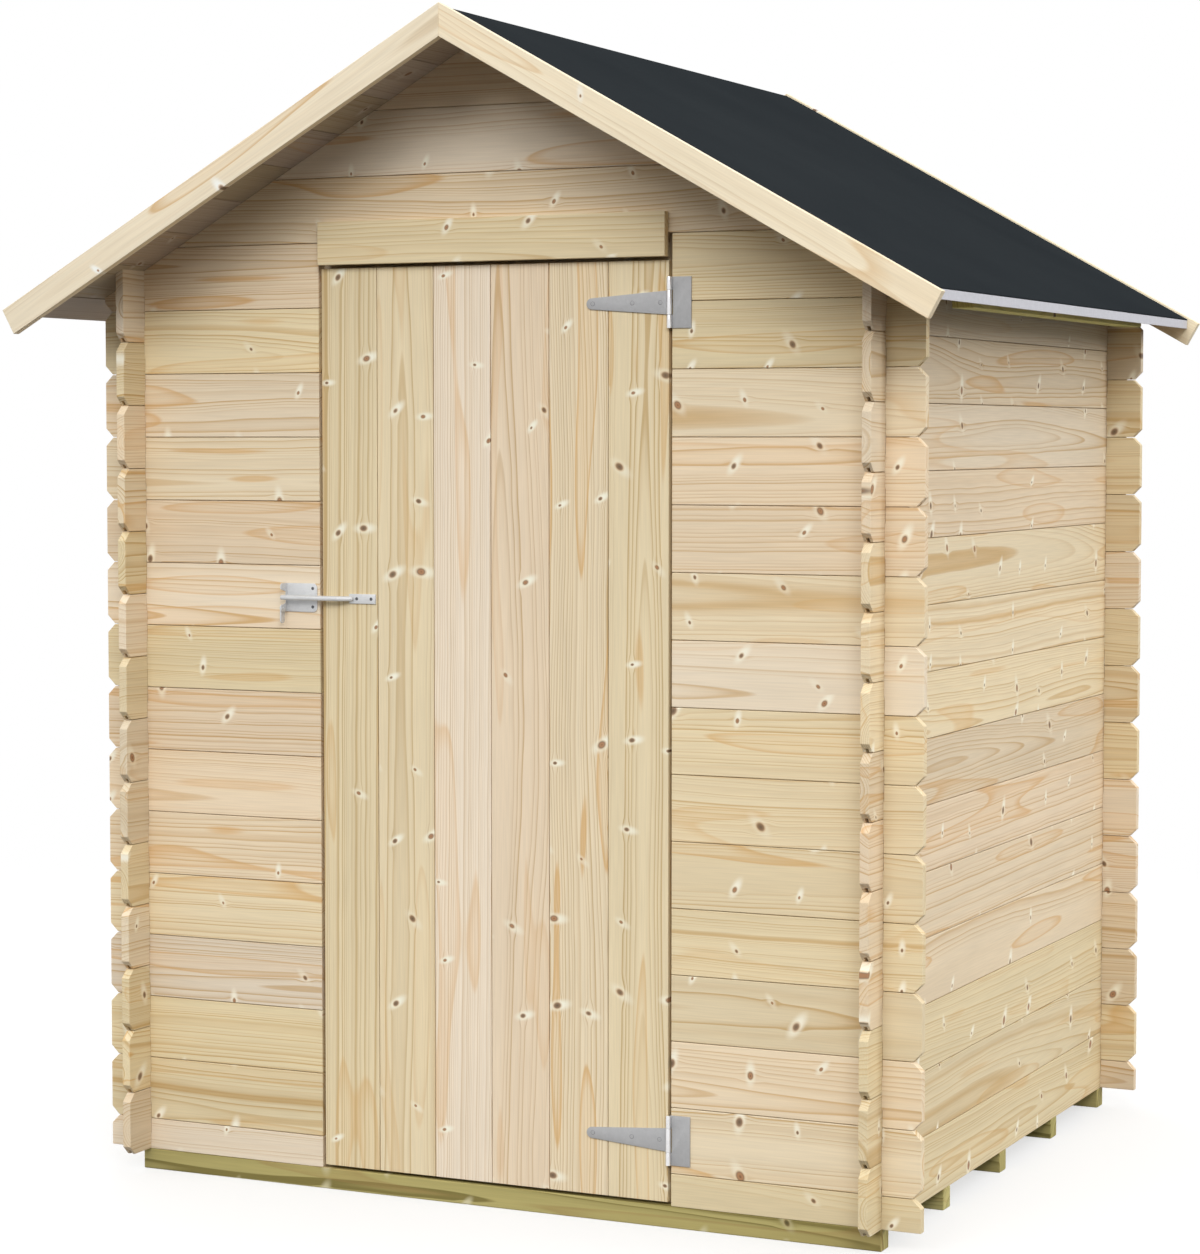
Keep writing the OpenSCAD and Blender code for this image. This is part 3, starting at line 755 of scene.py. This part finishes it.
def felt_sheet():
    """One sheet over both halves of the roof, bent over the ridge, with slow waves where it lies."""
    piece = Piece("felt_sheet")
    steps_y, steps_x = 60, 44
    thick = 1.2 * MM
    ridge_round = 2 * MM
    wave_count, wave_high = 36, 0.15 * MM
    spread_x, spread_y = 0.86, 0.77
    waves = random.Random(5)
    bumps = [(waves.uniform(-1, 1), waves.uniform(-1, 1), waves.uniform(0.06, 0.16))
             for _ in range(wave_count)]
    seat = felt_high.z - FELT_T / math.cos(pitch)

    def bump(x, y, bump_x, bump_y, radius):
        away = (x - bump_x * spread_x) ** 2 + (y - bump_y * spread_y) ** 2
        return math.exp(-away / radius ** 2)

    def height(x, y):
        fall = math.sqrt(x * x + ridge_round * ridge_round) - ridge_round / 2
        return seat - fall * rise + wave_high * sum(bump(x, y, *b) for b in bumps)

    bm = bmesh.new()
    rows = []
    for up in (1, 0):
        grid = []
        for i in range(steps_y + 1):
            y = felt_low.y + (felt_high.y - felt_low.y) * i / steps_y
            grid.append([])
            for k in range(-steps_x // 2, steps_x // 2 + 1):
                x = felt_high.x * k / (steps_x // 2)
                z = height(x, y) + up * thick / math.cos(pitch)
                grid[-1].append(bm.verts.new((x, y, min(z, felt_high.z) if up else seat - abs(x) * rise)))
        rows.append(grid)
    upper, lower = rows
    for i in range(steps_y):
        for k in range(steps_x):
            bm.faces.new([upper[i][k], upper[i][k + 1], upper[i + 1][k + 1], upper[i + 1][k]])
            bm.faces.new([lower[i][k], lower[i + 1][k], lower[i + 1][k + 1], lower[i][k + 1]])
    edge_a = [g[0] for g in upper], [g[0] for g in lower]
    edge_b = [g[-1] for g in upper], [g[-1] for g in lower]
    for a, b in (edge_a, edge_b, (upper[0], lower[0]), (upper[-1], lower[-1])):
        for i in range(len(a) - 1):
            bm.faces.new([a[i], a[i + 1], b[i + 1], b[i]])
    bmesh.ops.recalc_face_normals(bm, faces=bm.faces)
    piece.add(bm, Vector((0, 0, 0)), X, Y, Z)
    piece.finish(felt, "shed", ["roof_felt_left", "roof_felt_right"], smooth=40)


felt_sheet()


# Hinges and latch


def rod(start, end, radius, sides=40, round_end=0.0):
    """A round bar between two points in space."""
    start, end = Vector(start), Vector(end)
    bm = bmesh.new()
    turn = (end - start).to_track_quat("Z", "Y").to_matrix().to_4x4()
    place = Matrix.Translation((start + end) / 2) @ turn
    bmesh.ops.create_cone(bm, cap_ends=True, segments=sides, radius1=radius, radius2=radius,
                          depth=(end - start).length, matrix=place)
    if round_end:
        rims = [e for e in bm.edges if any(len(f.verts) > 4 for f in e.link_faces)]
        bmesh.ops.bevel(bm, geom=rims, offset=round_end, segments=3, profile=0.5, affect="EDGES")
    return bm


def add_world(piece, bm):
    piece.add(bm, Vector((0, 0, 0)), X, Y, Z)


SHEET_EASE = 0.35 * MM
HEAD_SIDES = 28


def plate(piece, outline, y, thick, size=SHEET_EASE):
    """A flat sheet in front of the wall, given by points in X and Z."""
    bm = prism(outline, thick)
    ease(bm, size)
    piece.add(bm, Vector((0, y, 0)), X, Z, Y)


def disc(radius, depth, sides=HEAD_SIDES):
    """A thin round plate, facing out."""
    bm = bmesh.new()
    bmesh.ops.create_cone(bm, cap_ends=True, segments=sides, radius1=radius, radius2=radius, depth=depth)
    return bm


def screw_head(radius, arm, half, proud, recess):
    """A flat head with a bevelled rim and a cross sunk into it, facing down the w axis."""
    bm = bmesh.new()
    sunk = 0.2 * MM
    top_share = 0.88
    angles = [math.tau * i / HEAD_SIDES for i in range(HEAD_SIDES)]
    circle = [Vector((math.cos(a), math.sin(a), 0)) for a in angles]
    quarter = [Vector((arm, -half, 0)), Vector((arm, half, 0)), Vector((half, half, 0))]
    turns = [Matrix.Rotation(math.pi / 2 * i, 3, "Z") for i in range(4)]
    cross = [turn @ point for turn in turns for point in quarter]

    def loop(points, scale, height):
        return [bm.verts.new(p * scale + Z * height) for p in points]

    def band(a, b):
        for i in range(len(a)):
            j = (i + 1) % len(a)
            bm.faces.new((a[i], a[j], b[j], b[i]))

    foot = loop(circle, radius, sunk)
    rim = loop(circle, radius, -proud / 2)
    top = loop(circle, radius * top_share, -proud)
    mouth = loop(cross, 1.0, -proud)
    bed = loop(cross, 1.0, recess - proud)
    band(foot, rim)
    band(rim, top)
    band(mouth, bed)
    bm.faces.new(foot)
    bm.faces.new(bed)
    border = [bm.edges.get(pair) for ring in (top, mouth) for pair in zip(ring, ring[1:] + ring[:1])]
    bmesh.ops.triangle_fill(bm, edges=border, use_beauty=True)
    bmesh.ops.recalc_face_normals(bm, faces=bm.faces[:])
    return bm


def screws(name, body, places, y, radius, steel):
    """Screw heads with a cross recess, each on a near-black disc that paints the shade round the head."""
    heads = Piece(name + "_screws")
    shade_discs = Piece(name + "_screw_painted_shade")
    proud, recess = 0.5 * MM, 0.35 * MM
    # Width and thickness of the near-black disc, painted shade, that shows round each head
    rim, shade_disc_t = 0.5 * MM, 0.2 * MM
    arm, half = radius * 0.62, radius * 0.17
    for x, z in places:
        heads.add(screw_head(radius, arm, half, proud, recess), Vector((x, y, z)), X, Z, Y)
        shade_discs.add(disc(radius + rim, shade_disc_t), Vector((x, y, z)), X, Z, Y)
    heads.finish(steel, body, [], smooth=SMOOTH_ANGLE)
    shade_discs.finish(painted_shade_steel, body, [])


def hinge(name):
    """A T hinge: a plate with a pin on the wall, and a tapered strap on the door."""
    low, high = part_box(f"{name}_hinge_plate")
    strap_low, strap_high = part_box(f"{name}_hinge_strap")
    barrel_r = 4.5 * MM
    pin_r = 2.5 * MM
    rounding = 0.5 * MM
    sheet = 2.5 * MM
    screw_r = 3.3 * MM
    screw_shares = (0.075, 0.55, 0.885)
    pin_x = low.x + barrel_r
    pin_y = low.y + barrel_r
    middle = (low.z + high.z) / 2
    half = (strap_high.z - strap_low.z) / 2
    slot = half + 0.5 * MM

    fixed = Piece(f"{name}_hinge_leaf")
    inner = pin_x + barrel_r + MM
    outline = [(pin_x, low.z), (high.x, low.z), (high.x, high.z), (pin_x, high.z), (pin_x, middle + slot),
               (inner, middle + slot), (inner, middle - slot), (pin_x, middle - slot)]
    plate(fixed, outline, front_y - sheet, sheet)
    fixed.finish(hinge_steel, "shed", [f"{name}_hinge_plate"], smooth=SMOOTH_ANGLE)

    def upright(z0, z1, radius, round_end=0.0):
        return rod((pin_x, pin_y, z0), (pin_x, pin_y, z1), radius, round_end=round_end)

    knuckles = Piece(f"{name}_hinge_knuckles")
    for a, b in ((low.z, middle - slot), (middle + slot, high.z)):
        add_world(knuckles, upright(a, b, barrel_r, rounding))
    add_world(knuckles, upright(low.z + MM, high.z - MM, pin_r))
    knuckles.finish(pin_steel, "shed", [], smooth=SMOOTH_ANGLE)

    moving = Piece(f"{name}_hinge_tongue")
    tip_r = 9.5 * MM
    tip_x = strap_low.x + tip_r
    arc = [(tip_x + tip_r * math.cos(math.radians(a)), middle + tip_r * math.sin(math.radians(a)))
           for a in range(90, 271, 10)]
    plate(moving, [(pin_x, middle - half), (pin_x, middle + half)] + arc, front_y - sheet, sheet)
    moving.finish(hinge_steel, "door", [f"{name}_hinge_strap"], smooth=SMOOTH_ANGLE)
    knuckle = Piece(f"{name}_hinge_middle_knuckle")
    add_world(knuckle, upright(middle - half, middle + half, barrel_r, rounding))
    knuckle.finish(pin_steel, "door", [], smooth=SMOOTH_ANGLE)
    places = [(strap_low.x + share * (pin_x - strap_low.x), middle) for share in screw_shares]
    screws(f"{name}_hinge", "door", places, front_y - sheet, screw_r, screw_steel)


hinge("upper")
hinge("lower")


def latch():
    """A keeper plate on the wall with its catch, and a bent striker bar on the door."""
    low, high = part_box("latch_plate")
    bar_low, bar_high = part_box("latch_bar")
    catch_low, catch_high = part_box("latch_catch")
    sheet = 2 * MM
    plate_w = 64 * MM
    bar_r = 4.5 * MM
    rivet_r, head_r, tail_r = 2.5 * MM, 4.5 * MM, 3.6 * MM
    rivet_drop = 19 * MM
    head_t, tail_sunk = 1.4 * MM, 0.3 * MM
    screw_r = 2.4 * MM
    inset = 9 * MM
    bar_z = (bar_low.z + bar_high.z) / 2
    bar_y = bar_low.y + bar_r
    flange_x = high.x - plate_w
    corner = 8 * MM
    slot = bar_r + 5.5 * MM
    flare = 5 * MM
    rivet = Vector((0, (catch_low.y + catch_high.y) / 2, bar_z - rivet_drop))

    def arc(x, z, start):
        return [(x + corner * math.cos(math.radians(a)), z + corner * math.sin(math.radians(a)))
                for a in range(start, start + 91, 10)]

    fixed = Piece("latch_keeper")
    right = high.x - corner
    plate(fixed, [(flange_x, high.z), (flange_x, low.z)] + arc(right, low.z + corner, -90) +
          arc(right, high.z - corner, 0), front_y - sheet, sheet)
    out = front_y - low.y
    nib = 3 * MM
    deep = bar_y + slot - front_y
    outline = [(0, low.z), (nib - out, low.z), (-out, low.z + nib), (-out, bar_z - slot - flare),
               (deep, bar_z - slot), (deep, bar_z + slot),
               (-out, bar_z + slot + flare), (-out, high.z - nib), (nib - out, high.z), (0, high.z)]
    bm = prism(outline, sheet)
    ease(bm, SHEET_EASE)
    fixed.add(bm, Vector((flange_x, front_y, 0)), Y, Z, X)

    def rivet_part(x0, x1, radius, round_end=0.0):
        add_world(fixed, rod(rivet + X * x0, rivet + X * x1, radius, round_end=round_end))

    tail = flange_x + sheet
    rivet_part(low.x + MM, flange_x + sheet / 2, rivet_r)
    rivet_part(low.x, low.x + head_t, head_r, round_end=0.6 * MM)
    rivet_part(tail - tail_sunk, tail + MM, tail_r, round_end=0.5 * MM)
    fixed.finish(latch_steel, "shed", ["latch_plate"], smooth=SMOOTH_ANGLE)
    places = [(high.x - inset, high.z - inset), (high.x - inset, low.z + inset)]
    # The keeper's screw heads are drawn in the near-black steel: painted shade.
    screws("latch", "shed", places, front_y - sheet, screw_r, painted_shade_steel)

    moving = Piece("latch_striker")
    thick = 2.5 * MM
    striker_w, knee_out, screw_in = 53 * MM, 18 * MM, 15 * MM
    plate_x = bar_high.x - striker_w
    plate(moving, rectangle(plate_x, bar_high.x, bar_low.z, bar_high.z), front_y - thick, thick)
    foot = Vector((plate_x + bar_r, front_y - bar_r - 0.3 * MM, bar_z))
    knee = Vector((plate_x - knee_out, bar_y, bar_z))
    add_world(moving, rod((bar_low.x, bar_y, bar_z), knee, bar_r, round_end=MM))
    add_world(moving, rod(knee, foot, bar_r))
    for centre in (knee, foot):
        bm = bmesh.new()
        bmesh.ops.create_uvsphere(bm, u_segments=40, v_segments=20, radius=bar_r,
                                  matrix=Matrix.Translation(centre))
        add_world(moving, bm)
    moving.finish(latch_steel, "door", ["latch_bar"], smooth=SMOOTH_ANGLE)
    places = [(plate_x + screw_in, bar_z), (bar_high.x - inset, bar_z)]
    # The striker's screw heads are drawn in the near-black steel: painted shade.
    screws("striker", "door", places, front_y - thick, screw_r, painted_shade_steel)

    catch = Piece("latch_tongue")
    radius = (catch_high.y - catch_low.y) / 2
    ends = []
    for centre, start in ((rivet.z, 0), (catch_low.z + radius, 180)):
        ends += [(radius * math.cos(math.radians(a)), centre + radius * math.sin(math.radians(a)))
                 for a in range(start, start + 181, 12)]
    bm = prism(ends, catch_high.x - catch_low.x)
    ease(bm, 0.5 * MM)
    catch.add(bm, Vector((catch_low.x, rivet.y, 0)), Y, Z, X)
    catch.finish(latch_steel, "latch_catch", ["latch_catch"], smooth=SMOOTH_ANGLE)


latch()


# Stage, light and camera

# Strength of the sky by the sine of the height over the horizon
SKY = ((0.0, 0.02), (0.1, 0.3), (0.38, 1.4), (0.65, 1.7), (0.92, 0.6), (1.0, 0.6))
SKY_TOP = max(strength for height, strength in SKY)
GROUND = 0.45
FLOOR_PALE = 0.86
FLOOR_ALPHA = 0.36
FLOOR_HALF = 6.0
FADE_START, FADE_END = 1.2, 4.5
LAMP_AIM = (0, 0, 1.0)


def stage_floor():
    """A floor that fades into the white round the object: pale to the eye, darker as a source of light."""
    mesh = bpy.data.meshes.new("stage_floor")
    corners = rectangle(-FLOOR_HALF, FLOOR_HALF, -FLOOR_HALF, FLOOR_HALF)
    mesh.from_pydata([(x, y, 0) for x, y in corners], [], [(0, 1, 2, 3)])
    ground = bpy.data.objects.new("stage_floor", mesh)
    bpy.context.scene.collection.objects.link(ground)
    n = Nodes("pale_floor")
    place = n.add("ShaderNodeTexCoord").outputs["Object"]
    away = n.add("ShaderNodeVectorMath", {0: place}, operation="LENGTH").outputs["Value"]
    rays = n.add("ShaderNodeLightPath").outputs
    seen = n.math("MAXIMUM", rays["Is Camera Ray"], rays["Is Glossy Ray"])
    seen = n.math("MAXIMUM", seen, rays["Is Transmission Ray"])
    n.put(n.shader.inputs["Base Color"], n.mix(seen, (GROUND,) * 3, (FLOOR_PALE,) * 3))
    n.shader.inputs["Roughness"].default_value = 0.9
    n.put(n.shader.inputs["Alpha"], n.span(away, FADE_START, FADE_END, FLOOR_ALPHA, 0.0, True))
    mesh.materials.append(n.material)


def area(name, place, size, power):
    """A round lamp that faces the middle of the object."""
    data = bpy.data.lights.new(name, "AREA")
    data.shape = "DISK"
    data.size = size
    data.energy = power
    lamp = bpy.data.objects.new(name, data)
    lamp.location = place
    lamp.rotation_euler = (Vector(LAMP_AIM) - Vector(place)).to_track_quat("-Z", "Y").to_euler()
    bpy.context.scene.collection.objects.link(lamp)


def sky():
    """White for the eye and in reflections; as a light it is brightest halfway up and dark below."""
    world = bpy.data.worlds.new("sky")
    bpy.context.scene.world = world
    world.use_nodes = True
    tree = world.node_tree
    path = tree.nodes.new("ShaderNodeLightPath")
    place = tree.nodes.new("ShaderNodeTexCoord")
    split = tree.nodes.new("ShaderNodeSeparateXYZ")
    level = tree.nodes.new("ShaderNodeFloatCurve")
    level.mapping.extend = "HORIZONTAL"
    curve = level.mapping.curves[0]
    for point, (height, strength) in zip(curve.points, (SKY[0], SKY[-1])):
        point.location = (height, strength / SKY_TOP)
    for height, strength in SKY[1:-1]:
        curve.points.new(height, strength / SKY_TOP)
    for point in curve.points:
        point.handle_type = "VECTOR"
    level.mapping.update()
    gain = tree.nodes.new("ShaderNodeMath")
    gain.operation = "MULTIPLY"
    gain.inputs[1].default_value = SKY_TOP
    tree.links.new(place.outputs["Generated"], split.inputs[0])
    tree.links.new(split.outputs[2], level.inputs["Value"])
    tree.links.new(level.outputs[0], gain.inputs[0])
    seen = path.outputs["Is Camera Ray"]
    for kind in ("Is Glossy Ray", "Is Transmission Ray"):
        either = tree.nodes.new("ShaderNodeMath")
        either.operation = "MAXIMUM"
        tree.links.new(seen, either.inputs[0])
        tree.links.new(path.outputs[kind], either.inputs[1])
        seen = either.outputs[0]
    glow = tree.nodes["Background"]
    glow.inputs["Color"].default_value = (1, 1, 1, 1)
    tree.links.new(gain.outputs[0], glow.inputs["Strength"])
    white = tree.nodes.new("ShaderNodeBackground")
    white.inputs["Color"].default_value = (1, 1, 1, 1)
    white.inputs["Strength"].default_value = 1.0
    mix = tree.nodes.new("ShaderNodeMixShader")
    tree.links.new(seen, mix.inputs[0])
    tree.links.new(glow.outputs[0], mix.inputs[1])
    tree.links.new(white.outputs[0], mix.inputs[2])
    tree.links.new(mix.outputs[0], tree.nodes["World Output"].inputs["Surface"])


stage_floor()
sky()
area("key", place=(-0.6, -12.4, 8.6), size=6.0, power=480)
area("fill", place=(6.6, -10.6, 8.2), size=5.0, power=480)
area("side", place=(13.4, 2.6, 5.6), size=4.8, power=530)
area("back", place=(-4.6, 5.2, 4.6), size=3.0, power=120)

camera_data = bpy.data.cameras.new("camera")
camera_data.sensor_width = 36
camera_data.lens = 91.36
camera_data.clip_end = 100
camera = bpy.data.objects.new("camera", camera_data)
camera.location = (2.5135, -5.5017, 1.3459)
aim = Vector((-0.0964, 0.05215, 0.9825)) - camera.location
camera.rotation_euler = aim.to_track_quat("-Z", "Y").to_euler()
bpy.context.scene.collection.objects.link(camera)
bpy.context.scene.camera = camera
bpy.context.scene.view_settings.view_transform = "Standard"
